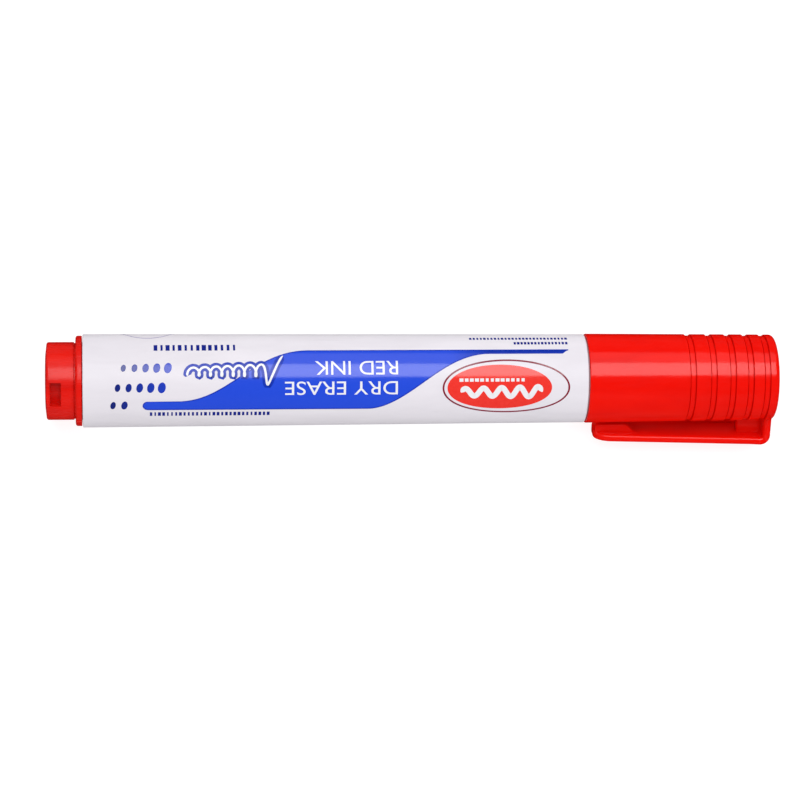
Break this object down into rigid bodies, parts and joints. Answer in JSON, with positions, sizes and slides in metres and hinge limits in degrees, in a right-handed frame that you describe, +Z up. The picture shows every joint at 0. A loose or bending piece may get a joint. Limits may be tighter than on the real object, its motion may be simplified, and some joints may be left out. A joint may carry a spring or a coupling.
{
  "type": "whiteboard marker",
  "caption": "Chunky whiteboard marker lying on its side, with a pull-off cap, a springy pocket clip, a bullet nib and a removable rear plug.",
  "frame": {"origin": "centre of the bounding box's bottom: the surface that the marker lies on, halfway along its length", "axes": "+X along the marker from the rear plug to the cap's closed end, +Z up, and the clip points towards -Y and down"},
  "size_m": [0.14, 0.022, 0.0178],
  "materials": {
    "white_barrel": "glossy moulded white with printed artwork",
    "red_cap": "satin-gloss moulded red",
    "red_plug": "satin-gloss moulded red",
    "nose_plastic": "satin moulded white",
    "seal_plastic": "milky natural",
    "ink_fibre": "fibre soaked with red ink",
    "nib_fibre": "pressed fibre soaked with red ink",
    "sleeve_film": "thin clear film"
  },
  "bodies": {
    "barrel": {"barrel": "white_barrel", "nose_section": "nose_plastic", "nib": "nib_fibre", "ink_reservoir": "ink_fibre", "reservoir_sleeve": "sleeve_film"},
    "cap": {"cap_shell": "red_cap", "inner_seal": "seal_plastic"},
    "clip": {"pocket_clip": "red_cap"},
    "plug": {"rear_plug": "red_plug"}
  },
  "joints": [
    {"name": "cap_pull", "type": "slide", "parent": "barrel", "child": "cap", "axis": [1, 0, 0], "range_m": [0, 0.045]},
    {"name": "clip_flex", "type": "hinge", "parent": "cap", "child": "clip", "pos_m": [0.06325, -0.00933, 0.0034], "axis": [0, -0.4318, 0.9019], "range_deg": [0, 5], "stiffness_Nm_per_rad": 0.9},
    {"name": "plug_pull", "type": "slide", "parent": "barrel", "child": "plug", "axis": [-1, 0, 0], "range_m": [0, 0.016]}
  ]
}
